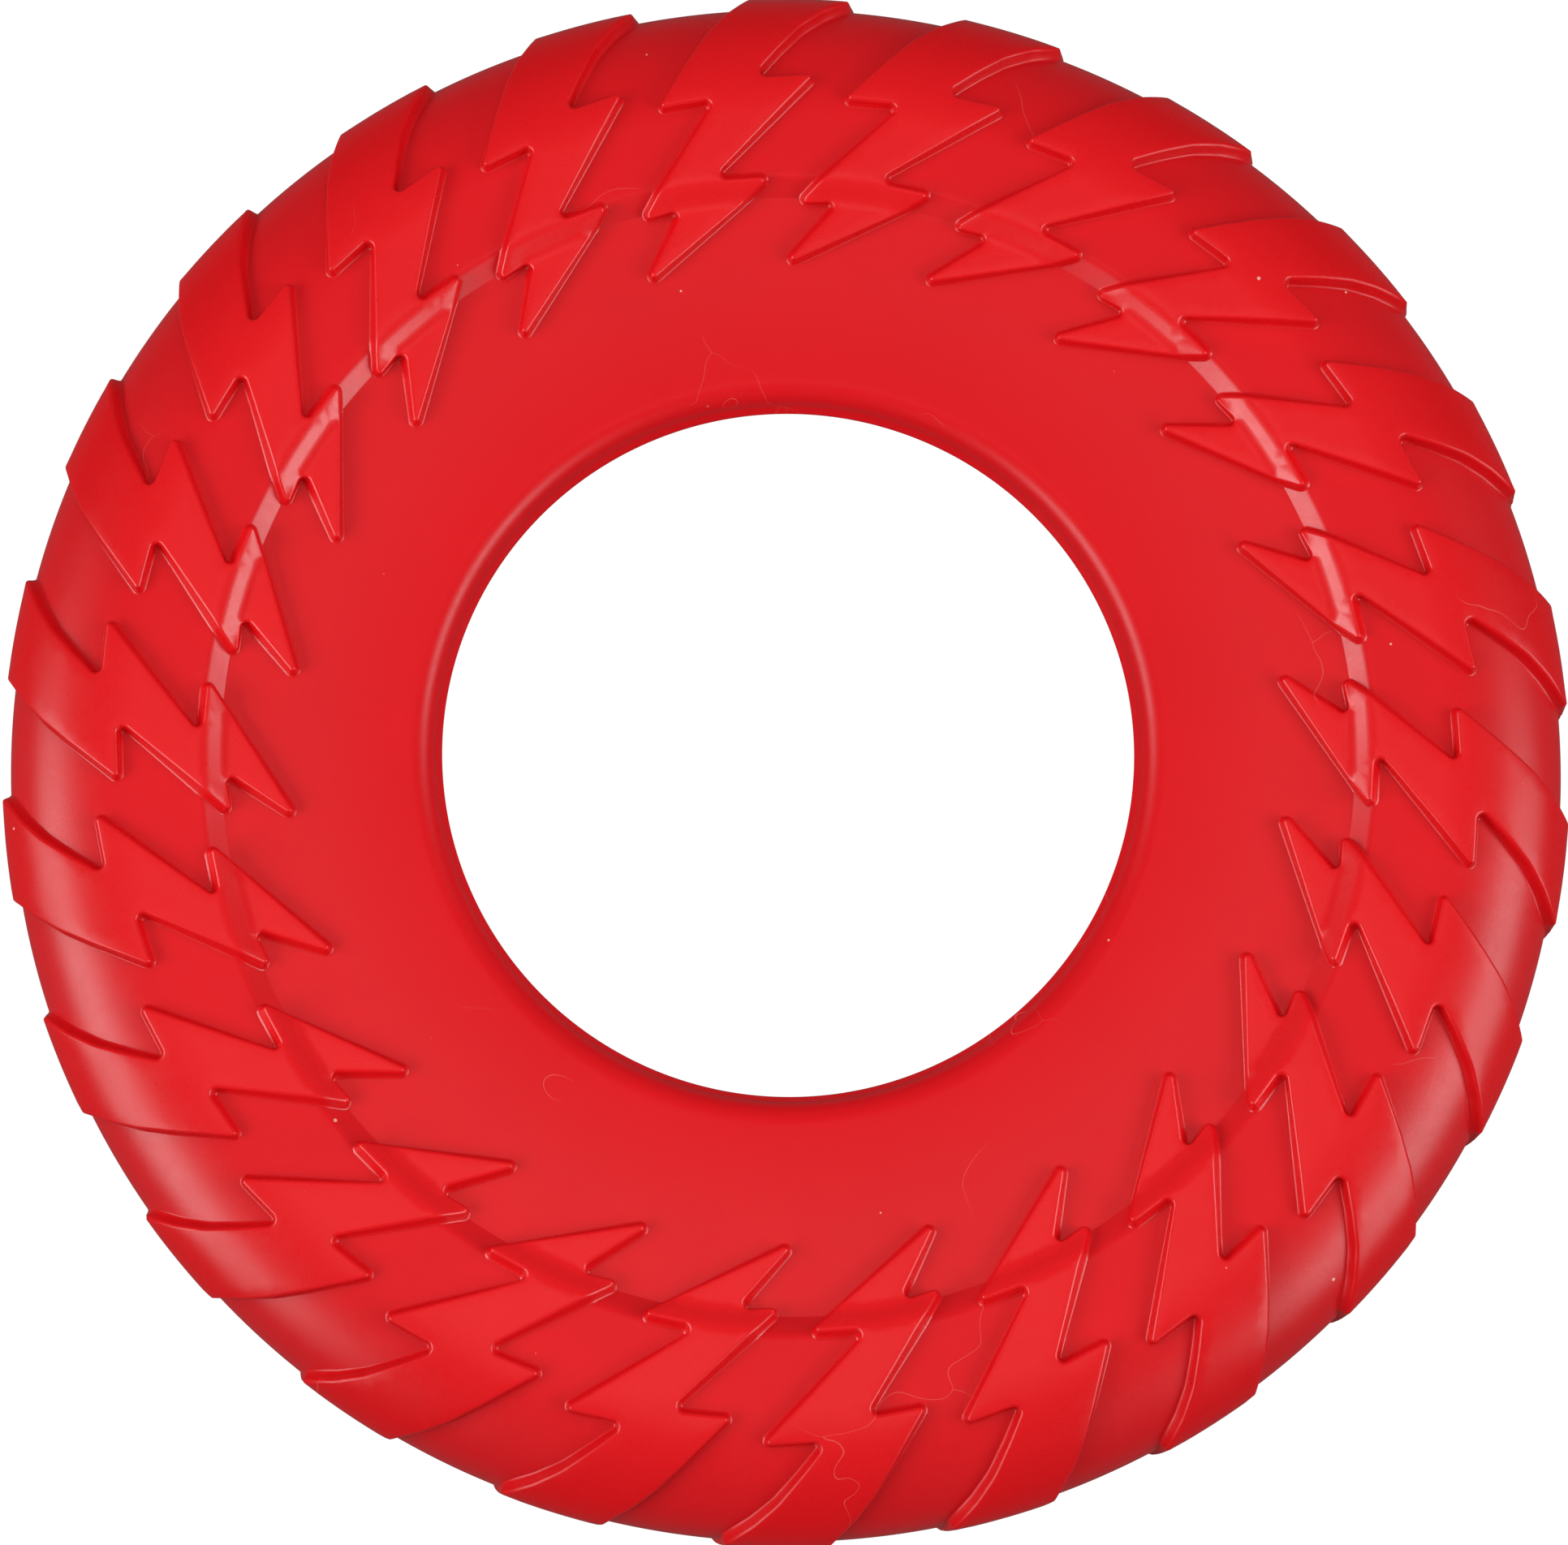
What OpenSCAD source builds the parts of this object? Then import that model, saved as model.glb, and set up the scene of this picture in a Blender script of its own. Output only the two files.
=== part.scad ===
// Soft throwing ring with raised lightning bolts.
// Millimetres, +Z up. The ring lies flat: z = 0 is the plane its lower bolts rest on,
// the ring's axis is Z, and angles run clockwise from +Y when seen from above.

/* [Ring body] */
// Radius of the ridge round the central hole
hole_r = 52.3; // [45:0.1:60]
// Height of that ridge above the middle plane
ridge_h = 5.0; // [0:0.5:6]
// How far the hole wall leans back from the ridge to the upper lip
hole_draft = 0.9; // [0.5:0.1:3]
// How far the hole wall leans back from the ridge to the middle plane
ridge_lean = 1.3; // [0.5:0.1:2]
// How far the hole wall leans back from the ridge to the lower lip
low_draft = 3.2; // [2:0.1:4]
// Radius of the rounded lip where the hole wall meets each face
lip_r = 3.0; // [1:0.1:3]
// Radius where the flat inner face ends and the step begins
step_r0 = 85.2; // [80:0.1:90]
// Radius where the step ends and the flat land begins
step_r1 = 88.0; // [84:0.1:92]
// Radius where the land ends and the rounded shoulder begins
land_r = 98.0; // [92:0.5:106]
// Radius of the body at its parting line
body_r = 118.0; // [110:0.1:124]
// Height of the inner face above the middle plane
face_h = 9.4; // [6:0.1:14]
// Height of the land above the middle plane
land_h = 11.5; // [7:0.1:16]

/* [Lightning bolts] */
// Number of bolts round each face
bolt_count = 22; // [12:1:30]
// Thickness of a bolt on the faces
bolt_h = 2.0; // [1:0.1:3]
// How far a bolt stands out past the body at the parting line
bolt_edge_h = 0.85; // [0.4:0.05:2]
// Angle of the first inner tip on the upper face
bolt_start = 16.9; // [0:0.1:17]
// Angle from an inner tip to the middle of the bolt on the rim
bolt_wrap = 17.1; // [16:0.1:21]

/* [Shell and core] */
// Wall thickness of the two half shells
wall_t = 3.0; // [2:0.1:5]
// Extra wall thickness where the halves meet
joint_land = 1.0; // [0.5:0.1:2]
// Width of the tongue in the bonded joint
tongue_w = 1.2; // [0.8:0.1:2]
// Height of the tongue in the bonded joint
tongue_h = 1.2; // [0.8:0.1:2]
// Gap between the foam core and the shells
core_gap = 0.15; // [0.1:0.05:0.5]

/* [Hidden] */
$fn = 96;
half_t = land_h + bolt_h;
shoulder_a = body_r - land_r;
shoulder_n = 14;
lip_n = 6;
pitch = 360 / bolt_count;
flip_axis = bolt_start + bolt_wrap;

step_deg = atan2(land_h - face_h, step_r1 - step_r0);
step_in = bolt_h * tan(step_deg / 2);

// Direction of the outward normal of the shoulder, in degrees above the middle plane.
function shoulder_up(t) = atan2(shoulder_a * sin(t), land_h * cos(t));
function shoulder_pt(t) = [land_r + shoulder_a * cos(t), land_h * sin(t)];
function raised_pt(t) = shoulder_pt(t) + bolt_h * [cos(shoulder_up(t)), sin(shoulder_up(t))];

// The bolts' tops follow the shoulder until they reach rim_r, then drop straight to the parting line.
rim_r = body_r + bolt_edge_h;
function rim_t(lo, hi, n) =
    let (mid = (lo + hi) / 2)
    n == 0 ? mid : raised_pt(mid)[0] > rim_r ? rim_t(mid, hi, n - 1) : rim_t(lo, mid, n - 1);
corner_t = rim_t(5, 80, 30);

// Stations on the shoulder, from the land (90) down to the parting line (0).
shoulder_t = [for (i = [1 : shoulder_n]) 90 * (1 - i / shoulder_n)];

// Outer profile of a half, from the hole to the parting line. The ridge is on the upper half only.
joint_r = hole_r + ridge_lean;
function body_edge(wall, draft) = let (lip_c = [hole_r + draft + lip_r, face_h - lip_r]) concat(
    wall,
    [for (i = [0 : lip_n]) let (a = 180 - 10 - (80 * i / lip_n)) lip_c + lip_r * [cos(a), sin(a)]],
    [[step_r0, face_h], [step_r1, land_h], [land_r, land_h]],
    [for (t = shoulder_t) shoulder_pt(t)]
);
upper_edge = body_edge([[joint_r, 0], [hole_r, ridge_h]], hole_draft);
lower_edge = body_edge([[joint_r, 0]], low_draft);

// Upper half of the cavity inside the two shells.
cav_in = joint_r + wall_t + joint_land + 0.3;
cav_out = body_r - wall_t - joint_land;
cav_face = face_h - wall_t;
cav_land = land_h - wall_t;
cav_a = cav_out - land_r + 0.6;
function cavity_edge(g) = concat(
    [[cav_in + g, 0]],
    [[cav_in + 1.6 + g, cav_face - 1.2 - g], [cav_in + 2.8 + g, cav_face - g]],
    [[step_r0 + 0.9 + g, cav_face - g], [step_r1 + 0.9 + g, cav_land - g], [land_r - g, cav_land - g]],
    [for (t = [78, 66, 54, 42, 30, 18]) [land_r + (cav_a - g) * cos(t), (cav_land - g) * sin(t)]],
    [[cav_out - g, 0]]
);

// The raised layer that the bolts are cut from, between the body and the bolts' tops.
bolt_in_r = 74;
skin_under = concat(
    [[bolt_in_r, face_h], [step_r0, face_h], [step_r1, land_h], [land_r, land_h]],
    [for (t = shoulder_t) shoulder_pt(t)]
);
skin_over = concat(
    [[bolt_in_r, face_h + bolt_h], [step_r0 - step_in, face_h + bolt_h]],
    [[step_r1 - step_in, land_h + bolt_h], [land_r, land_h + bolt_h]],
    [for (t = shoulder_t) if (t > corner_t + 1) raised_pt(t)],
    [raised_pt(corner_t), [rim_r, 0]]
);
function flipped(p) = [for (i = [len(p) - 1 : -1 : 0]) p[i]];

// Outline of half a bolt in plan, as [angle after the inner tip, radius].
bolt_right = [[13.6, 87.5], [9.4, 88.5], [17.9, 103.7], [13.7, 104.1]];
rim_right = [[15.2, 108], [17.0, 112], [18.7, 115], [20.0, 117], [20.85, 118.3], [21.3, 119.5], [21.6, 121]];
rim_left = [[14.2, 121], [13.7, 119.5], [12.7, 118.3], [12.1, 117], [11.0, 115], [9.5, 112], [7.8, 108]];
bolt_left = [[4.65, 100.3], [8.85, 99.7], [0.95, 84.45], [4.0, 83.95]];
bolt_plan = concat([[-0.3, 75.0]], bolt_right, rim_right, rim_left, bolt_left);
function plan_pt(p) = [p[1] * sin(p[0]), p[1] * cos(p[0])];

module half_bolts() {
    intersection() {
        rotate_extrude() polygon(concat(skin_under, flipped(skin_over)));
        union() {
            for (k = [0 : bolt_count - 1]) {
                rotate([0, 0, -bolt_start - k * pitch])
                    translate([0, 0, -1])
                        linear_extrude(height = half_t + 3)
                            polygon([for (p = bolt_plan) plan_pt(p)]);
            }
        }
    }
}

// Half shell without its joint, standing on the middle plane.
module half_shell(edge) {
    rotate_extrude() polygon(concat(edge, flipped(cavity_edge(0))));
}

// One ring of the tongue: w wide, standing up from z = 0 to h.
module tongue_ring(r, w, h) {
    rotate_extrude() polygon([[r - w / 2, 0], [r + w / 2, 0], [r + w / 2, h], [r - w / 2, h]]);
}

inner_tongue_r = (joint_r + cav_in) / 2;
outer_tongue_r = (body_r + cav_out) / 2;

// Turns an upper-half solid over onto the lower half.
module turned_over() {
    rotate([0, 0, -flip_axis]) rotate([0, 180, 0]) rotate([0, 0, flip_axis]) children();
}

module lower_shell() {
    color([0.80, 0.11, 0.12])
        translate([0, 0, half_t])
            union() {
                turned_over() half_shell(lower_edge);
                tongue_ring(inner_tongue_r, tongue_w, tongue_h);
                tongue_ring(outer_tongue_r, tongue_w, tongue_h);
            }
}

module upper_shell() {
    color([0.84, 0.13, 0.14])
        translate([0, 0, half_t])
            difference() {
                half_shell(upper_edge);
                translate([0, 0, -1]) tongue_ring(inner_tongue_r, tongue_w, tongue_h + 1);
                translate([0, 0, -1]) tongue_ring(outer_tongue_r, tongue_w, tongue_h + 1);
            }
}

module foam_core() {
    color([0.86, 0.84, 0.80])
        translate([0, 0, half_t])
            rotate_extrude()
                polygon(concat(cavity_edge(core_gap), flipped([for (p = cavity_edge(core_gap)) [p[0], -p[1]]])));
}

module lower_bolts() {
    color([0.90, 0.13, 0.13])
        translate([0, 0, half_t])
            turned_over() half_bolts();
}

module upper_bolts() {
    color([0.92, 0.15, 0.15])
        translate([0, 0, half_t])
            half_bolts();
}

lower_shell();
upper_shell();
foam_core();
lower_bolts();
upper_bolts();
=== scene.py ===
"""Looks of the soft throwing ring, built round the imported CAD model.

Lengths are in millimetres until a mesh is made, then metres. Angles round the ring run
clockwise from +Y seen from above, as in the CAD.
"""
import math

import bmesh
import bpy
import numpy as np
from mathutils import Matrix, Vector
from mathutils.geometry import delaunay_2d_cdt


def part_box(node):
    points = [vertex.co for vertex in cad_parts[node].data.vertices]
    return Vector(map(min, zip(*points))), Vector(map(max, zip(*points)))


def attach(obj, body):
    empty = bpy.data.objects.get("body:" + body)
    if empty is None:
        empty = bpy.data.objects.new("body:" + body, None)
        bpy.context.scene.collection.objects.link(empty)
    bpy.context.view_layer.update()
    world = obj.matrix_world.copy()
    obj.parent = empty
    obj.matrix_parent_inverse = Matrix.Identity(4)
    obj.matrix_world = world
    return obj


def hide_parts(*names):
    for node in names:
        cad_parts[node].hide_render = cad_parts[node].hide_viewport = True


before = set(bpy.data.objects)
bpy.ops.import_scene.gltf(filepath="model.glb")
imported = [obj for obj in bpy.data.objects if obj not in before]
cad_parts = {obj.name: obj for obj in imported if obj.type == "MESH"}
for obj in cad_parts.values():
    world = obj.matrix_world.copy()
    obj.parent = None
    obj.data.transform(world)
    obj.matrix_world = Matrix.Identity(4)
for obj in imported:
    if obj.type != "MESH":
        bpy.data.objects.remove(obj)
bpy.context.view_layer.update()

MM = 0.001
MID_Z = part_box("upper_shell")[0].z / MM  # height of the middle plane

# The same sizes as the CAD model's.
HOLE_R = 52.3
RIDGE_H = 5.0
HOLE_DRAFT = 0.9
RIDGE_LEAN = 1.3
LOW_DRAFT = 3.2
STEP_R0 = 85.2
STEP_R1 = 88.0
LAND_R = 98.0
BODY_R = 118.0
FACE_H = 9.4
LAND_H = 11.5
BOLT_H = 2.0
BOLT_EDGE_H = 0.85
BOLT_COUNT = 22
BOLT_START = 16.9
BOLT_WRAP = 17.1
WALL_T = 3.0
JOINT_LAND = 1.0
JOINT_GAP = 0.3  # from the inner joint land to the cavity
CAVITY_BULGE = 0.6  # how much wider the cavity's shoulder is than its edge at the joint
CAVITY_STEP_SHIFT = 0.9  # how far outside the outer step the cavity's step is
CAVITY_CHAMFER = [(2.8, 0.0), (1.6, 1.2)]  # out from the cavity's hole side, and down from its face
CAVITY_SHOULDER_T = (18, 30, 42, 54, 66, 78)

# Rounding that only the visual model has.
LIP_ROUND = 3.8
RIDGE_ROUND = 0.5
RIM_CHAMFER = 0.12
CREASE_ROUND = 0.35
STEP_ROUND = 2.2
BOLT_TIP_ROUND = 0.8
BOLT_NOTCH_ROUND = 0.65
BOLT_EDGE_ROUND = 0.58
FOOT_SPREAD = 0.42
ROOT_DEPTH = 0.12

# How finely the surfaces are divided.
LATHE_STEPS = 480
SHOULDER_STEPS = 44
FACE_ARC_STEPS = 6
TIP_ARC_STEPS = 10
OUTLINE_SPACING = 0.7
TOP_SPACING = 1.5
UNDER_SPACING = 3.0
RIM_STEPS = 12  # along the parting line across a bolt
SHARP_ANGLE = 50
WELD_DISTANCE = 2e-6  # metres


# ---------------------------------------------------------------- profiles

def fillet(points, radii, steps):
    """The polyline with each inner corner replaced by an arc of steps + 1 points."""
    out = [np.array(points[0], float)]
    for before, at, after, radius in zip(points, points[1:], points[2:], radii):
        before, at, after = (np.array(p, float) for p in (before, at, after))
        a = (before - at) / np.linalg.norm(before - at)
        b = (after - at) / np.linalg.norm(after - at)
        half = math.acos(max(-1.0, min(1.0, float(a @ b)))) / 2
        reach = radius / math.tan(half)
        centre = at + (a + b) / np.linalg.norm(a + b) * radius / math.sin(half)
        p0, p1 = at + a * reach - centre, at + b * reach - centre
        turn = math.atan2(p0[0] * p1[1] - p0[1] * p1[0], float(p0 @ p1))
        for i in range(steps + 1):
            c, s = math.cos(turn * i / steps), math.sin(turn * i / steps)
            out.append(centre + np.array([c * p0[0] - s * p0[1], s * p0[0] + c * p0[1]]))
    out.append(np.array(points[-1], float))
    return out


def between(a, b, count):
    """count points after a, up to but without b."""
    return [a + (b - a) * (i + 1) / (count + 1) for i in range(count)]


def shoulder(t_deg, lift):
    """A point on the shoulder, or lift away from it."""
    t = math.radians(t_deg)
    a = BODY_R - LAND_R
    up = math.atan2(a * math.sin(t), LAND_H * math.cos(t))
    return np.array([LAND_R + a * math.cos(t) + lift * math.cos(up),
                     LAND_H * math.sin(t) + lift * math.sin(up)])


SHOULDER_T = [90 * (1 - (i / SHOULDER_STEPS) ** 0.9) for i in range(1, SHOULDER_STEPS + 1)]
RIM_R = BODY_R + BOLT_EDGE_H


def raised_shoulder():
    """The bolts' tops: along the shoulder out to RIM_R, then straight to the parting line."""
    pts = np.array([shoulder(t, BOLT_H) for t in SHOULDER_T])
    first = int(np.argmax(pts[:, 0] > RIM_R))
    share = (RIM_R - pts[first - 1, 0]) / (pts[first, 0] - pts[first - 1, 0])
    corner_t = SHOULDER_T[first - 1] + share * (SHOULDER_T[first] - SHOULDER_T[first - 1])
    corner_z = shoulder(corner_t, BOLT_H)[1]
    for i in range(first, len(pts)):
        part = math.sin(math.radians(SHOULDER_T[i])) / math.sin(math.radians(corner_t))
        pts[i] = (RIM_R, corner_z * part)
    for _ in range(3):  # rounds the corner
        pts[1:-1] = (pts[:-2] + 2 * pts[1:-1] + pts[2:]) / 4
    return list(pts)


def face_profile(start_r, raised):
    """From start_r on the inner face out to the parting line, always in as many points."""
    lift = BOLT_H if raised else 0.0
    inset = lift * math.tan(math.atan2(LAND_H - FACE_H, STEP_R1 - STEP_R0) / 2)
    corners = [(start_r, FACE_H + lift), (STEP_R0 - inset, FACE_H + lift),
               (STEP_R1 - inset, LAND_H + lift), (LAND_R, LAND_H + lift)]
    points = fillet(corners, [CREASE_ROUND, STEP_ROUND], FACE_ARC_STEPS)
    count = FACE_ARC_STEPS + 1
    start, crease, step, end = points[0], points[1:1 + count], points[1 + count:-1], points[-1]
    pts = [start] + between(start, crease[0], 8) + crease
    pts += between(crease[-1], step[0], 3) + step
    pts += between(step[-1], end, 7) + [end]
    outer = raised_shoulder() if raised else [shoulder(t, 0) for t in SHOULDER_T]
    return np.array(pts + outer)


BOLT_IN_R = 74.0  # a little nearer the hole than the bolts' inner tips
UNDER = face_profile(BOLT_IN_R, False)
OVER = face_profile(BOLT_IN_R, True)
MIDDLE_R = (UNDER[:, 0] + OVER[:, 0]) / 2
ALONG = np.concatenate([[0], np.cumsum(np.linalg.norm(np.diff(UNDER, axis=0), axis=1))])
END = ALONG[-1]


def on_bolt(theta, along, level):
    """Points in space for arrays of angle, distance along the profile, and level.

    Angles are in radians. Level 0 is the body's surface and level 1 the bolt's top.
    """
    low = np.stack([np.interp(along, ALONG, UNDER[:, k]) for k in (0, 1)], -1)
    top = np.stack([np.interp(along, ALONG, OVER[:, k]) for k in (0, 1)], -1)
    p = low + (top - low) * np.asarray(level)[..., None]
    return np.stack([p[..., 0] * np.sin(theta), p[..., 0] * np.cos(theta), p[..., 1]], -1)


# ---------------------------------------------------------------- one bolt

# Outline of half a bolt: [angle after the inner tip in degrees, radius, rounding].
BOLT_LEFT = [(13.6, 119.2, 0), (12.75, 117.9, 2), (11.0, 115, 8), (9.5, 112, 12), (7.8, 108, 20),
             (4.65, 100.3, BOLT_TIP_ROUND), (8.85, 99.7, BOLT_NOTCH_ROUND),
             (0.95, 84.45, BOLT_TIP_ROUND), (4.0, 83.95, BOLT_NOTCH_ROUND)]
BOLT_TIP = [(-0.3, 75.0, BOLT_TIP_ROUND)]
BOLT_RIGHT = [(13.6, 87.5, BOLT_TIP_ROUND), (9.4, 88.5, BOLT_NOTCH_ROUND),
              (17.9, 103.7, BOLT_TIP_ROUND), (13.7, 104.1, BOLT_NOTCH_ROUND),
              (15.2, 108, 20), (17.0, 112, 12), (18.7, 115, 8), (20.65, 117.9, 2), (21.4, 119.2, 0)]

# Inner part of a bolt's wall, from under the surface up: [distance in from the outline, level].
WALL_FOOT = [(-FOOT_SPREAD - 0.1, -ROOT_DEPTH), (-FOOT_SPREAD, 0.0), (-FOOT_SPREAD * 0.6, 0.025),
             (-FOOT_SPREAD * 0.3, 0.09), (-FOOT_SPREAD * 0.02, 0.22), (0.12, 0.45)]
EDGE_IN = 0.19  # distance in from the outline where the rounded top edge begins
EDGE_SHARE = 0.36  # share of the bolt's height that the rounded top edge takes
EDGE_STEPS = 5


def plan(angle_deg, radius):
    a = math.radians(angle_deg)
    return (radius * math.sin(a), radius * math.cos(a))


def sharpened(wanted, radii):
    """Corners whose rounded tips, not the corners themselves, reach the points wanted."""
    wanted = [np.array(p) for p in wanted]
    pts = list(wanted)
    for _ in range(12):  # enough for the corners to settle
        moved = list(pts)
        for i, radius in enumerate(radii, 1):
            if radius > BOLT_TIP_ROUND:  # a point of a smooth curve, not a corner
                continue
            a = (pts[i - 1] - pts[i]) / np.linalg.norm(pts[i - 1] - pts[i])
            b = (pts[i + 1] - pts[i]) / np.linalg.norm(pts[i + 1] - pts[i])
            half = math.acos(float(a @ b)) / 2
            back = radius * (1 / math.sin(half) - 1)
            moved[i] = wanted[i] - (a + b) / np.linalg.norm(a + b) * back
        pts = moved
    return pts


def bolt_outline(spacing):
    """Angle and distance along the profile of points round the bolt, from rim to tip to rim."""
    corners = BOLT_LEFT + BOLT_TIP + BOLT_RIGHT
    radii = [c[2] for c in corners[1:-1]]
    pts = fillet(sharpened([plan(a, r) for a, r, _ in corners], radii), radii, TIP_ARC_STEPS)
    dense = []
    for a, b in zip(pts, pts[1:]):
        count = max(1, int(np.linalg.norm(b - a) / spacing))
        dense += [a + (b - a) * i / count for i in range(count)]
    dense = np.array(dense + [pts[-1]])
    theta = np.arctan2(dense[:, 0], dense[:, 1])
    along = np.interp(np.hypot(dense[:, 0], dense[:, 1]), MIDDLE_R, ALONG)
    first = np.argmax(along < END - 1e-6) - 1
    last = len(along) - np.argmax(along[::-1] < END - 1e-6)
    theta, along = theta[max(first, 0):last + 1], along[max(first, 0):last + 1]
    along[0] = along[-1] = END
    return theta, along


SLIDE_REACH = 3.0
SLIDE_MIN = 0.3


def inset_outline(theta, along, distance):
    """The outline moved inwards by distance, its two ends staying on the parting line."""
    radius = np.interp(along, ALONG, MIDDLE_R)
    x, y = np.gradient(theta) * radius, np.gradient(along)
    size = np.hypot(x, y)
    nx, ny = -y / size, x / size
    # Close to the parting line, points slide along it instead of moving square to the outline.
    slide = np.clip(1 - (END - along) / SLIDE_REACH, 0, 1) ** 2
    steep = np.where(np.abs(nx) < SLIDE_MIN, SLIDE_MIN * np.sign(nx), nx)
    step = distance * ((1 - slide) * nx + slide / steep)
    return theta + step / radius, np.minimum(along + distance * ny * (1 - slide), END)


def inside(points, loop):
    """Which of the points lie inside the closed loop, and how far each is from it."""
    a, b = loop, np.roll(loop, -1, axis=0)
    px, py = points[:, None, 0], points[:, None, 1]
    crosses = (a[:, 1] > py) != (b[:, 1] > py)
    with np.errstate(divide="ignore", invalid="ignore"):
        at = (b[:, 0] - a[:, 0]) * (py - a[:, 1]) / (b[:, 1] - a[:, 1]) + a[:, 0]
    odd = (crosses & (px < at)).sum(1) % 2 == 1
    gap = np.sqrt(((points[:, None] - a[None]) ** 2).sum(-1)).min(1)
    return odd, gap


def cap(theta, along, spacing):
    """Triangles filling an outline: angle, along and faces. The outline's points come first."""
    mean_r = 100.0  # turns angles into rough lengths
    loop = np.stack([theta * mean_r, along], -1)
    rim = [loop[-1] + (loop[0] - loop[-1]) * i / RIM_STEPS for i in range(1, RIM_STEPS)]
    loop = np.vstack([loop, rim])
    low, high = loop.min(0), loop.max(0)
    gx, gy = np.meshgrid(np.arange(low[0], high[0], spacing),
                         np.arange(low[1], high[1], spacing * 0.8))
    grid = np.stack([gx.ravel(), gy.ravel()], -1)
    within, gap = inside(grid, loop)
    grid = grid[within & (gap > spacing * 0.55)]
    pts = [Vector(p) for p in np.vstack([loop, grid])]
    filled = delaunay_2d_cdt(pts, [], [list(range(len(loop)))], 1, 1e-7)
    verts = np.array([(v.x, v.y) for v in filled[0]])
    return verts[:, 0] / mean_r, verts[:, 1], filled[2]


def bolt_mesh():
    """Vertices (above the middle plane) and faces of the bolt whose inner tip is at angle 0."""
    theta, along = bolt_outline(OUTLINE_SPACING)
    wall = list(WALL_FOOT)
    for i in range(EDGE_STEPS + 1):
        a = math.radians(90 * i / EDGE_STEPS)
        wall.append((EDGE_IN + BOLT_EDGE_ROUND * (1 - math.cos(a)),
                     1 - EDGE_SHARE * (1 - math.sin(a))))
    loops = []
    for distance, level in wall:
        th, al = inset_outline(theta, along, distance)
        loops.append((th, al, np.full(len(th), level)))
    verts, faces = [], []
    count = len(theta)
    for th, al, level in loops:
        verts.append(on_bolt(th, al, level))
    for j in range(len(loops) - 1):
        for i in range(count - 1):
            a = j * count + i
            faces.append((a, a + 1, a + 1 + count, a + count))
    total = len(loops) * count
    th, al, top_faces = cap(loops[-1][0], loops[-1][1], TOP_SPACING)
    verts.append(on_bolt(th, al, np.ones(len(th))))
    faces += [tuple(total + k for k in f) for f in top_faces]
    rim_top = list(range(total + count, total + count + RIM_STEPS - 1))
    total += len(th)
    th, al, low_faces = cap(loops[0][0], loops[0][1], UNDER_SPACING)
    verts.append(on_bolt(th, al, np.full(len(th), -ROOT_DEPTH)))
    faces += [tuple(total + k for k in reversed(f)) for f in low_faces]
    rim_low = list(range(total + count, total + count + RIM_STEPS - 1))
    left = [j * count for j in range(len(loops))]
    right = [j * count + count - 1 for j in range(len(loops))]
    faces.append(tuple(left + rim_top[::-1] + right[::-1] + rim_low))
    return np.vstack(verts), faces


# ---------------------------------------------------------------- meshes

def make_object(name, verts_mm, faces):
    mesh = bpy.data.meshes.new(name)
    mesh.from_pydata((np.asarray(verts_mm) * MM).tolist(), [], faces)
    bm = bmesh.new()
    bm.from_mesh(mesh)
    bmesh.ops.remove_doubles(bm, verts=bm.verts, dist=WELD_DISTANCE)
    bmesh.ops.recalc_face_normals(bm, faces=bm.faces)
    bm.to_mesh(mesh)
    bm.free()
    mesh.shade_smooth()
    mesh.set_sharp_from_angle(angle=math.radians(SHARP_ANGLE))
    obj = bpy.data.objects.new(name, mesh)
    bpy.context.scene.collection.objects.link(obj)
    return obj


def turned_over(verts):
    """Upper-half points turned over about the in-plane axis where the bolts cross the rim."""
    axis = math.radians(BOLT_START + BOLT_WRAP)
    theta = 2 * axis - np.arctan2(verts[:, 0], verts[:, 1])
    radius = np.hypot(verts[:, 0], verts[:, 1])
    return np.stack([radius * np.sin(theta), radius * np.cos(theta), -verts[:, 2]], -1)


def ring_of_bolts():
    verts, faces = bolt_mesh()
    all_verts, all_faces = [], []
    for k in range(BOLT_COUNT):
        turn = math.radians(BOLT_START + k * 360 / BOLT_COUNT)
        c, s = math.cos(turn), math.sin(turn)
        x, y, z = verts.T
        all_verts.append(np.stack([c * x + s * y, c * y - s * x, z], -1))
        all_faces += [tuple(v + k * len(verts) for v in f) for f in faces]
    return np.vstack(all_verts), all_faces


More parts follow.
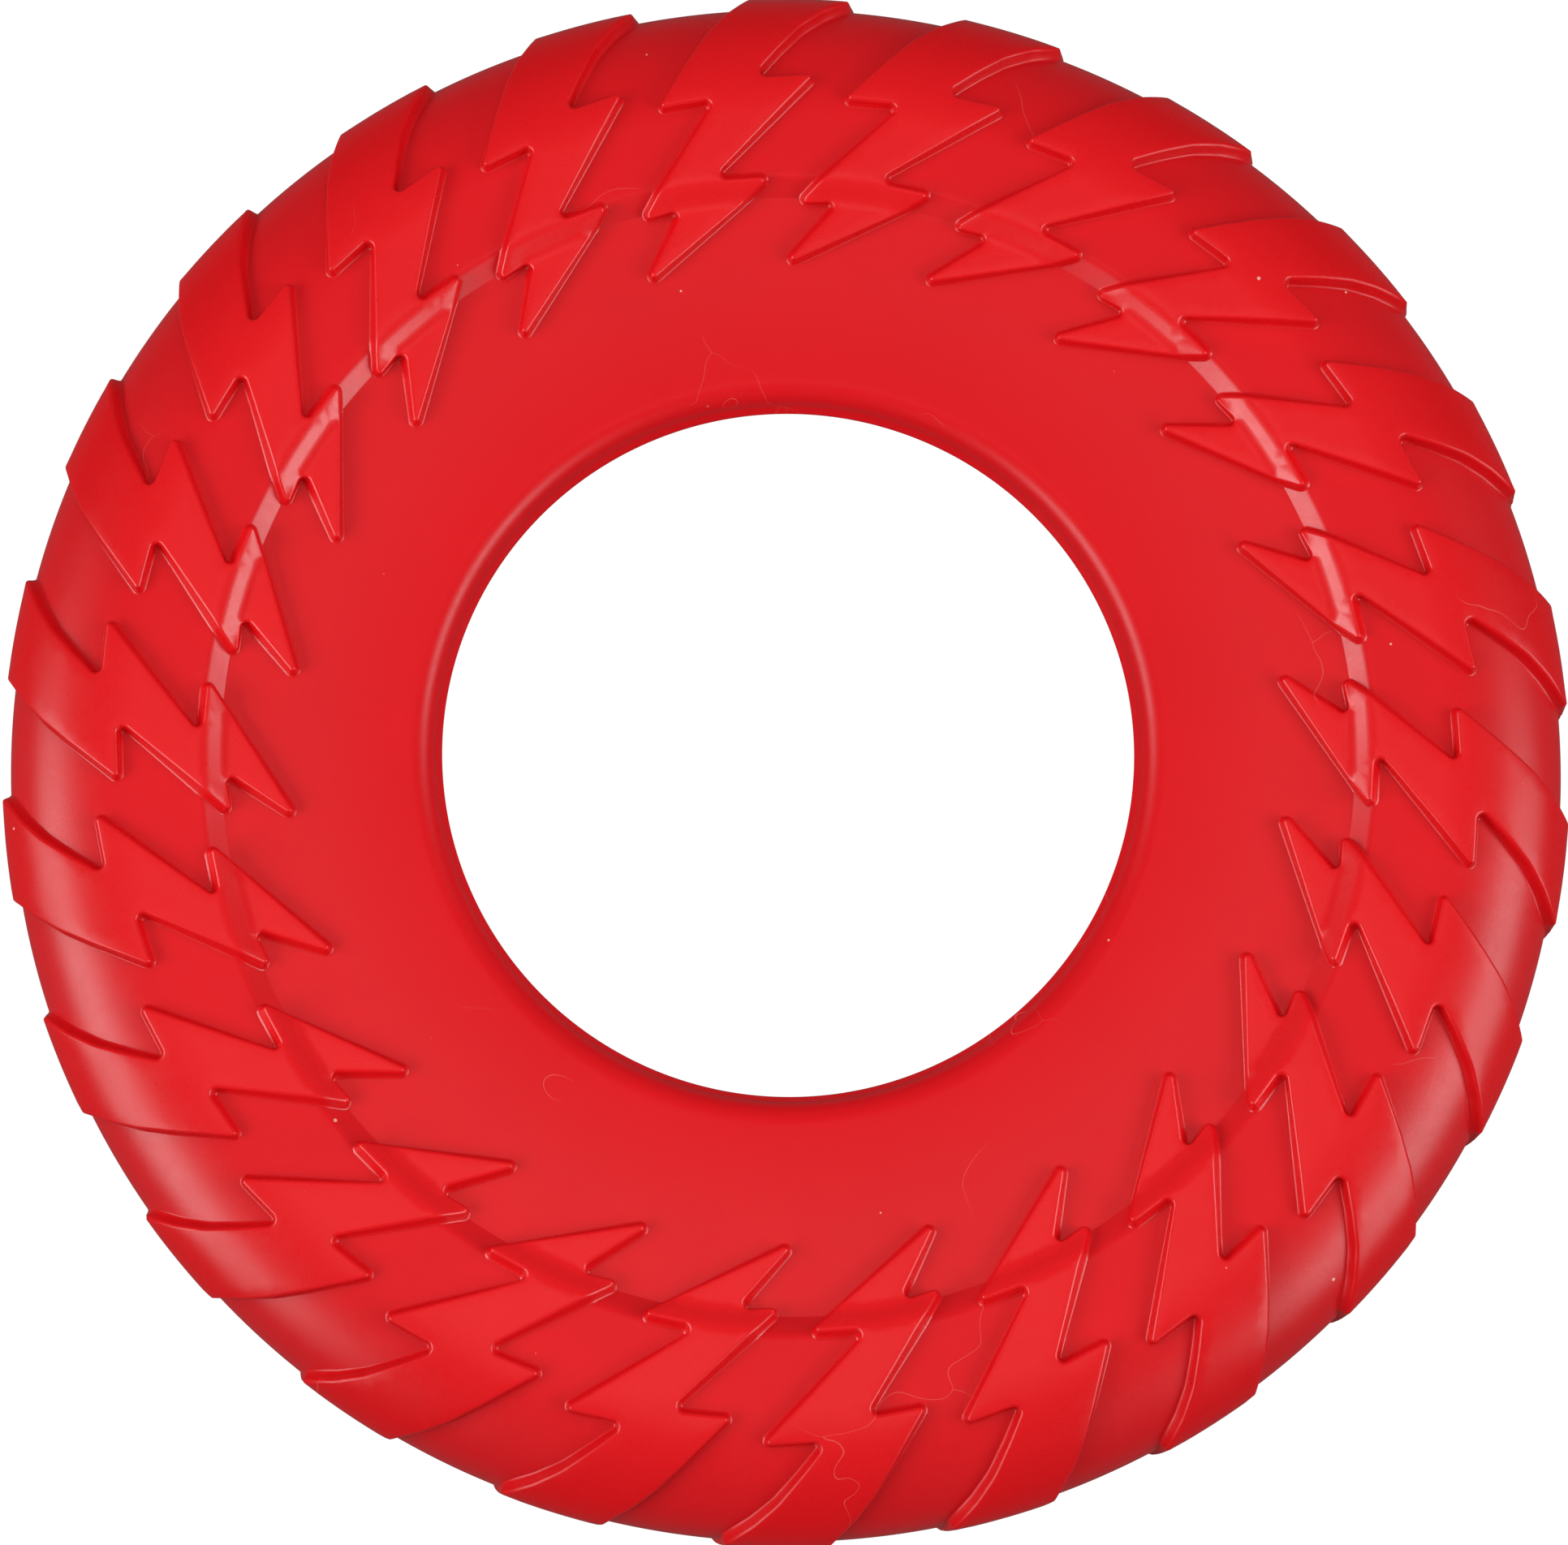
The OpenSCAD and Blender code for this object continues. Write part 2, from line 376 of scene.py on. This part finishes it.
def shell_outline(upper):
    """Closed profile of a half shell: outside from the hole to the rim, then back inside."""
    joint_r = HOLE_R + RIDGE_LEAN
    draft = HOLE_DRAFT if upper else LOW_DRAFT
    lip_c = np.array([HOLE_R + draft + LIP_ROUND, FACE_H - LIP_ROUND])
    lip = [lip_c + LIP_ROUND * np.array([math.cos(math.radians(a)), math.sin(math.radians(a))])
           for a in np.linspace(170, 90, 13)]
    foot = np.array([joint_r, 0.0])
    if upper:
        wall = fillet([foot, (HOLE_R, RIDGE_H), lip[0]], [RIDGE_ROUND], 6)[:-1]
        wall = wall[:1] + between(wall[0], wall[1], 3) + wall[1:] + between(wall[-1], lip[0], 3)
    else:
        wall = [foot] + between(foot, lip[0], 4)
    outside = wall + lip + between(lip[-1], UNDER[0], 10) + list(UNDER[:-1])
    rim = [np.array([BODY_R, RIM_CHAMFER]), np.array([BODY_R - RIM_CHAMFER, 0.0])]
    cav_in = joint_r + WALL_T + JOINT_LAND + JOINT_GAP
    cav_out = BODY_R - WALL_T - JOINT_LAND
    cav_face, cav_land = FACE_H - WALL_T, LAND_H - WALL_T
    bulge = cav_out - LAND_R + CAVITY_BULGE
    cavity = [(cav_out, 0.0)]
    for t in CAVITY_SHOULDER_T:
        a = math.radians(t)
        cavity.append((LAND_R + bulge * math.cos(a), cav_land * math.sin(a)))
    cavity += [(LAND_R, cav_land), (STEP_R1 + CAVITY_STEP_SHIFT, cav_land),
               (STEP_R0 + CAVITY_STEP_SHIFT, cav_face)]
    cavity += [(cav_in + out, cav_face - down) for out, down in CAVITY_CHAMFER]
    cavity.append((cav_in, 0.0))
    return np.array([tuple(p) for p in outside + rim] + cavity)


def lathe(profile):
    count = len(profile)
    verts, faces = [], []
    for i in range(LATHE_STEPS):
        a = 2 * math.pi * i / LATHE_STEPS
        r, z = profile.T
        verts.append(np.stack([r * math.sin(a), r * math.cos(a), z], -1))
        for j in range(count):
            k, n = (j + 1) % count, (i + 1) % LATHE_STEPS
            faces.append((i * count + j, n * count + j, n * count + k, i * count + k))
    return np.vstack(verts), faces


# ---------------------------------------------------------------- materials

class Nodes:
    """Short calls for building a material's node tree."""

    def __init__(self, name):
        self.material = bpy.data.materials.new(name)
        self.material.use_nodes = True
        self.tree = self.material.node_tree
        self.shader = self.tree.nodes["Principled BSDF"]

    def add(self, kind, **values):
        node = self.tree.nodes.new(kind)
        for key, value in values.items():
            if hasattr(node, key):
                setattr(node, key, value)
            else:
                node.inputs[key.replace("_", " ")].default_value = value
        return node

    def link(self, out, into):
        self.tree.links.new(out, into)

    def coords(self):
        return self.add("ShaderNodeTexCoord").outputs["Object"]

    def noise(self, coords, scale, detail=2.0, rough=0.5, distortion=0.0):
        node = self.add("ShaderNodeTexNoise", Scale=scale, Detail=detail, Roughness=rough,
                        Distortion=distortion)
        self.link(coords, node.inputs["Vector"])
        return node.outputs["Fac"]

    def cells(self, coords, scale, feature="F1"):
        """Distance to a cell's point, or to its edge."""
        node = self.add("ShaderNodeTexVoronoi", feature=feature, Scale=scale)
        self.link(coords, node.inputs["Vector"])
        return node.outputs["Distance"]

    def ramp(self, value, low, high, out_low=0.0, out_high=1.0):
        node = self.add("ShaderNodeMapRange", From_Min=low, From_Max=high,
                        To_Min=out_low, To_Max=out_high)
        self.link(value, node.inputs["Value"])
        return node.outputs["Result"]

    def math(self, how, a, b):
        node = self.add("ShaderNodeMath", operation=how)
        for socket, value in zip(node.inputs, (a, b)):
            if isinstance(value, (int, float)):
                socket.default_value = value
            else:
                self.link(value, socket)
        return node.outputs[0]

    def mix(self, factor, a, b):
        node = self.add("ShaderNodeMix", data_type="RGBA")
        for socket, value in ((node.inputs[0], factor), (node.inputs[6], a), (node.inputs[7], b)):
            if isinstance(value, (int, float, tuple)):
                socket.default_value = value
            else:
                self.link(value, socket)
        return node.outputs[2]

    def bump(self, height, distance, strength):
        node = self.add("ShaderNodeBump", Strength=strength, Distance=distance)
        self.link(height, node.inputs["Height"])
        return node.outputs["Normal"]

    def set(self, **values):
        for key, value in values.items():
            self.shader.inputs[key.replace("_", " ")].default_value = value


# Distances from the ring's axis, in metres, over which the looks change.
INNER_GLOSS_R = (0.052, 0.072)
INNER_GLOSS = (0.32, 0.62)  # specular level at the hole and on the face
# Painted shade: over these distances the colour is darkened towards the rim, standing in for the
# dimmer light on the outward-sloping shoulder.
OUTER_PAINTED_SHADE_R = (0.098, 0.112)

# Sizes of the marks are in the texture's own units; a higher scale makes them smaller.
CLOUD_SCALE = 38.0
GRAIN_SCALE = 2600.0
GRAIN_DEPTH = 0.00004
GRAIN_ROUGHNESS = 0.04
SCUFF_SCALE = 120.0
SCUFF_ROUGHNESS = 0.06
DUST_COLOUR = (0.80, 0.50, 0.42, 1)
DUST_OPACITY = 0.75
DUST_PATCH_SCALE = 55.0
DUST_SIZE = 0.052
THREAD_COLOUR = (0.80, 0.30, 0.25, 1)
THREAD_OPACITY = 0.22
THREAD_SCALE = 34.0
THREAD_WOBBLE_SCALE = 60.0
THREAD_WOBBLE = 0.02
THREAD_PATCH_SCALE = 31.0
THREAD_WIDTH = 0.0018


def from_axis(n, at):
    """Distance from the ring's axis."""
    flat = n.add("ShaderNodeVectorMath", operation="MULTIPLY")
    flat.inputs[1].default_value = (1, 1, 0)
    n.link(at, flat.inputs[0])
    length = n.add("ShaderNodeVectorMath", operation="LENGTH")
    n.link(flat.outputs["Vector"], length.inputs[0])
    return length.outputs["Value"]


def with_dust(n, at, base, scale):
    """The colour base with pale specks, thicker in some places than in others."""
    size = n.ramp(n.noise(at, DUST_PATCH_SCALE, 1.0), 0.46, 0.75, 0.0, DUST_SIZE)
    speck = n.math("LESS_THAN", n.cells(at, scale), size)
    return n.mix(n.math("MULTIPLY", speck, DUST_OPACITY), base, DUST_COLOUR)


def with_threads(n, at, base):
    """The colour base with a few thin curved fibres lying on it."""
    wobble = n.add("ShaderNodeTexNoise", Scale=THREAD_WOBBLE_SCALE)
    n.link(at, wobble.inputs["Vector"])
    shift = n.add("ShaderNodeVectorMath", operation="MULTIPLY_ADD")
    shift.inputs[1].default_value = (THREAD_WOBBLE,) * 3
    n.link(wobble.outputs["Color"], shift.inputs[0])
    n.link(at, shift.inputs[2])
    edge = n.cells(shift.outputs["Vector"], THREAD_SCALE, "DISTANCE_TO_EDGE")
    width = n.ramp(n.noise(at, THREAD_PATCH_SCALE, 1.0), 0.64, 0.70, 0.0, THREAD_WIDTH)
    thread = n.math("LESS_THAN", edge, width)
    return n.mix(n.math("MULTIPLY", thread, THREAD_OPACITY), base, THREAD_COLOUR)


def rubber(name, colour, dark, roughness, grain, dust_scale, outer_gloss_r, outer_gloss,
           outer_painted_shade):
    """Moulded soft elastomer: fine grain, faint cloudiness, dust, a few fibres, light scuffs.

    It is less glossy round the hole, and less glossy towards the rim, where painted shade also
    darkens the colour in place of the dimmer light that falls on the outward-sloping shoulder.
    """
    n = Nodes(name)
    at = n.coords()
    radius = from_axis(n, at)
    inner = n.ramp(radius, *INNER_GLOSS_R, *INNER_GLOSS)
    outer = n.ramp(radius, *outer_gloss_r, INNER_GLOSS[1], outer_gloss)
    n.link(n.math("MINIMUM", inner, outer), n.shader.inputs["Specular IOR Level"])

    base = n.mix(n.ramp(n.noise(at, CLOUD_SCALE, 3.0, 0.55), 0.3, 0.7), colour, dark)
    # Painted shade, not a tone of the rubber itself: the colour darkens towards the rim, where less
    # light falls on the shoulder.
    rim_painted_shade = tuple(c * outer_painted_shade for c in dark[:3]) + (1,)
    base = n.mix(n.ramp(radius, *OUTER_PAINTED_SHADE_R), base, rim_painted_shade)
    base = with_threads(n, at, with_dust(n, at, base, dust_scale))
    n.link(base, n.shader.inputs["Base Color"])

    fine = n.noise(at, GRAIN_SCALE, 2.0, 0.6)
    scuff = n.ramp(n.noise(at, SCUFF_SCALE, 4.0, 0.7, 1.5), 0.45, 0.8, 0.0, SCUFF_ROUGHNESS)
    even = n.ramp(fine, 0.3, 0.7, roughness - GRAIN_ROUGHNESS, roughness + GRAIN_ROUGHNESS)
    n.link(n.math("ADD", even, scuff), n.shader.inputs["Roughness"])
    n.link(n.bump(fine, GRAIN_DEPTH, grain), n.shader.inputs["Normal"])

    n.shader.subsurface_method = "RANDOM_WALK"
    n.set(IOR=1.5, Subsurface_Weight=0.18, Subsurface_Scale=0.0015,
          Subsurface_Radius=(1.0, 0.15, 0.1))
    return n.material


FOAM_LIGHT = (0.82, 0.79, 0.73, 1)
FOAM_DARK = (0.55, 0.52, 0.47, 1)
FOAM_SCALE = 900.0
FOAM_DEPTH = 0.0003


def foam(name):
    """Closed-cell foam."""
    n = Nodes(name)
    tone = n.ramp(n.cells(n.coords(), FOAM_SCALE), 0.0, 0.8)
    n.link(n.mix(tone, FOAM_DARK, FOAM_LIGHT), n.shader.inputs["Base Color"])
    n.link(n.ramp(tone, 0.0, 1.0, 0.95, 0.8), n.shader.inputs["Roughness"])
    n.link(n.bump(tone, FOAM_DEPTH, 0.6), n.shader.inputs["Normal"])
    return n.material


# ---------------------------------------------------------------- the ring

SHELL_RED = (0.660, 0.0045, 0.0088, 1)
SHELL_DARK = (0.630, 0.0040, 0.0080, 1)
BOLT_RED = (0.720, 0.0045, 0.0080, 1)
BOLT_DARK = (0.695, 0.0042, 0.0076, 1)

# The last argument sets how far painted shade darkens the colour towards the rim.
shell_material = rubber("shell_rubber", SHELL_RED, SHELL_DARK, roughness=0.34, grain=0.25,
                        dust_scale=160.0, outer_gloss_r=(0.0870, 0.0885), outer_gloss=0.46,
                        outer_painted_shade=0.90)
bolt_material = rubber("bolt_rubber", BOLT_RED, BOLT_DARK, roughness=0.30, grain=0.12,
                       dust_scale=120.0, outer_gloss_r=(0.098, 0.112), outer_gloss=0.32,
                       outer_painted_shade=0.85)
lift = np.array([0, 0, MID_Z])

bolt_verts, bolt_faces = ring_of_bolts()
for half, place in (("upper", lambda v: v), ("lower", turned_over)):
    shell_verts, shell_faces = lathe(shell_outline(half == "upper"))
    shell = make_object("ring_shell_" + half, place(shell_verts) + lift, shell_faces)
    shell.data.materials.append(shell_material)
    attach(shell, "root")
    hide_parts(half + "_shell")
    bolts = make_object("ring_bolts_" + half, place(bolt_verts) + lift, bolt_faces)
    bolts.data.materials.append(bolt_material)
    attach(bolts, "root")
    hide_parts(half + "_bolts")

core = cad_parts["foam_core"]
core.data.materials.clear()
core.data.materials.append(foam("core_foam"))

# ---------------------------------------------------------------- stage

PURE_WHITE = 1.02  # just over 1, so that the background clips to white
FLOOR_REACH = 3.0  # metres
FLOOR_GREY = 0.16  # what the ring sees of the floor

floor_mesh = bpy.data.meshes.new("floor")
floor_corners = [(-1, -1), (1, -1), (1, 1), (-1, 1)]
floor_mesh.from_pydata([(x * FLOOR_REACH, y * FLOOR_REACH, 0) for x, y in floor_corners], [],
                       [(0, 1, 2, 3)])
floor = bpy.data.objects.new("floor", floor_mesh)
bpy.context.scene.collection.objects.link(floor)
floor_nodes = Nodes("pale_floor")
floor_nodes.set(Base_Color=(FLOOR_GREY,) * 3 + (1,), Roughness=0.9, Specular_IOR_Level=0.1)
glow = floor_nodes.add("ShaderNodeEmission", Strength=PURE_WHITE)
blend = floor_nodes.add("ShaderNodeMixShader")
lit = floor_nodes.add("ShaderNodeLightPath")
floor_nodes.link(lit.outputs["Is Camera Ray"], blend.inputs[0])
floor_nodes.link(floor_nodes.shader.outputs[0], blend.inputs[1])
floor_nodes.link(glow.outputs[0], blend.inputs[2])
surface = floor_nodes.tree.nodes["Material Output"].inputs["Surface"]
floor_nodes.link(blend.outputs[0], surface)
floor_mesh.materials.append(floor_nodes.material)

world = bpy.data.worlds.new("studio")
bpy.context.scene.world = world
world.use_nodes = True
world.cycles.sampling_method = "NONE"  # sampled as a light, it would ignore what kind of ray asks
sky = world.node_tree
background = sky.nodes["Background"]
background.inputs["Color"].default_value = (1, 1, 1, 1)
rays = sky.nodes.new("ShaderNodeLightPath")
where = sky.nodes.new("ShaderNodeTexCoord")
split = sky.nodes.new("ShaderNodeSeparateXYZ")
sky.links.new(where.outputs["Generated"], split.inputs[0])


def by_height(low, high, value_low, value_high):
    """Sky strength by the height of the direction, from -1 straight down to 1 straight up."""
    node = sky.nodes.new("ShaderNodeMapRange")
    node.interpolation_type = "SMOOTHSTEP"
    for socket, value in zip(node.inputs[1:5], (low, high, value_low, value_high)):
        socket.default_value = value
    sky.links.new(split.outputs["Z"], node.inputs[0])
    return node.outputs[0]


def choose(factor, a, b):
    """b where factor is 1, otherwise a."""
    node = sky.nodes.new("ShaderNodeMix")
    sky.links.new(factor, node.inputs["Factor"])
    for socket, value in ((node.inputs["A"], a), (node.inputs["B"], b)):
        if isinstance(value, float):
            socket.default_value = value
        else:
            sky.links.new(value, socket)
    return node.outputs["Result"]


seen_by_gloss = by_height(0.93, 1.0, 0.12, 0.72)  # dark, with a bright patch overhead
seen_by_matt = by_height(0.0, 0.9, 0.14, 0.18)
indirect = choose(rays.outputs["Is Glossy Ray"], seen_by_matt, seen_by_gloss)
sky.links.new(choose(rays.outputs["Is Camera Ray"], indirect, PURE_WHITE),
              background.inputs["Strength"])

AIM = Vector((0, 0, 0.01))  # metres


def softbox(name, azimuth, tilt, distance, width, height, power):
    """A rectangular light aimed at the ring, in metres and watts.

    Azimuth runs clockwise from +Y, and tilt from straight up.
    """
    light = bpy.data.lights.new(name, "AREA")
    light.shape = "RECTANGLE"
    light.size, light.size_y = width, height
    light.energy = power
    obj = bpy.data.objects.new(name, light)
    a, t = math.radians(azimuth), math.radians(tilt)
    towards = Vector((math.sin(a) * math.sin(t), math.cos(a) * math.sin(t), math.cos(t)))
    obj.location = towards * distance
    obj.rotation_euler = (AIM - obj.location).to_track_quat("-Z", "Y").to_euler()
    bpy.context.scene.collection.objects.link(obj)
    return obj


overhead = softbox("overhead_light", 0, 14, 1.2, width=1.9, height=1.9, power=12.2)
overhead.visible_glossy = False  # it only lights; the sky's patch overhead is what shows in gloss
overhead.data.cycles.use_multiple_importance_sampling = False  # without this, gloss still adds up
overhead.visible_camera = False
softbox("side_light_right", 106, 59, 1.1, width=0.85, height=0.45, power=6.4)
softbox("side_light_left", 255, 59, 1.1, width=0.9, height=0.45, power=7.7)

camera_data = bpy.data.cameras.new("camera")
camera = bpy.data.objects.new("camera", camera_data)
bpy.context.scene.collection.objects.link(camera)
camera_data.sensor_width = 36.0
camera_data.lens = 101.0
camera_data.clip_start = 0.01
BOLT_TOP_Z = (MID_Z + FACE_H + BOLT_H) * MM  # of the bolts' inner tips
CAMERA_PLACE = Vector((-0.0121, -0.10604, 0.65058 + BOLT_TOP_Z))
CAMERA_AXES = Matrix(((0.99985, 0.0, -0.01713),
                      (-0.00265, 0.98798, -0.15453),
                      (0.01693, 0.15455, 0.98784)))
camera.matrix_world = Matrix.Translation(CAMERA_PLACE) @ CAMERA_AXES.to_4x4()
bpy.context.scene.camera = camera
bpy.context.scene.view_settings.view_transform = "Standard"
